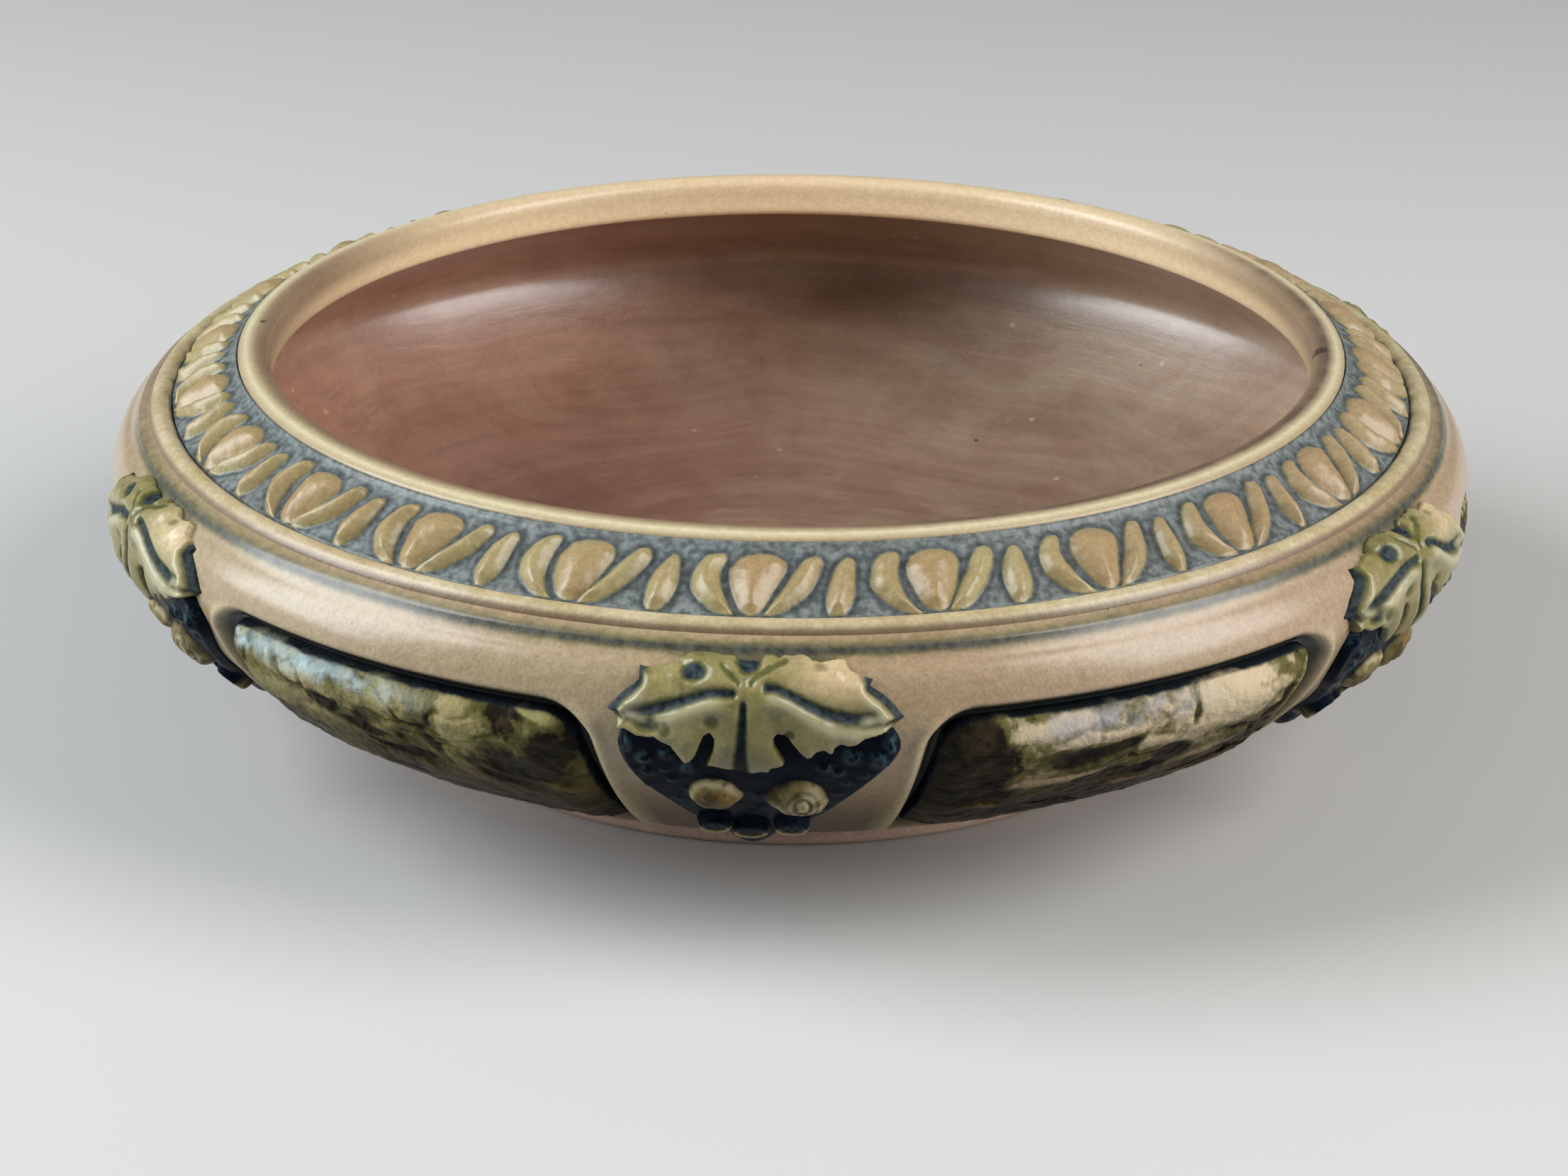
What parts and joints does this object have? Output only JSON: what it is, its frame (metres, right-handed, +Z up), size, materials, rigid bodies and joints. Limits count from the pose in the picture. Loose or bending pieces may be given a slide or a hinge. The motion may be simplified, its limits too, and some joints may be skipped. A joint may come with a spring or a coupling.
{
  "type": "ceramic centerpiece bowl",
  "caption": "Low, wide glazed ceramic centerpiece bowl with a rolled lip, egg-and-dart shoulder band, vine leaf and grape sprigs and textured bark panels on a plain foot ring",
  "frame": {"origin": "on the turning axis, at the underside of the foot, where the bowl stands", "axes": "+Z up along the turning axis; -Y towards the first vine sprig, which faces the front of the picture; +X to its right"},
  "size_m": [0.2556, 0.2628, 0.0711],
  "materials": {
    "foot": "thin matte tan-pink glaze",
    "body": "satin golden tan glaze with speckle and soft brushed turning marks",
    "bead": "satin yellow-tan glaze",
    "band": "satin yellow-tan glaze, slate blue pooled between the eggs",
    "lip": "satin yellow-tan glaze, browner on its inner side",
    "bark": "satin mottled cream, olive and brown-black glaze",
    "grapes": "satin deep navy glaze",
    "leaf": "satin olive green glaze with blue-grey in the veins"
  },
  "bodies": {
    "root": {"foot_ring": "foot", "bowl_body": "body", "shoulder_bead": "bead", "egg_and_dart_band": "band", "rim_lip": "lip", "bark_panel_1": "bark", "bark_panel_2": "bark", "bark_panel_3": "bark", "bark_panel_4": "bark", "bark_panel_5": "bark", "bark_panel_6": "bark", "grape_cluster_1": "grapes", "grape_cluster_2": "grapes", "grape_cluster_3": "grapes", "grape_cluster_4": "grapes", "grape_cluster_5": "grapes", "grape_cluster_6": "grapes", "vine_leaf_1": "leaf", "vine_leaf_2": "leaf", "vine_leaf_3": "leaf", "vine_leaf_4": "leaf", "vine_leaf_5": "leaf", "vine_leaf_6": "leaf"}
  },
  "joints": []
}
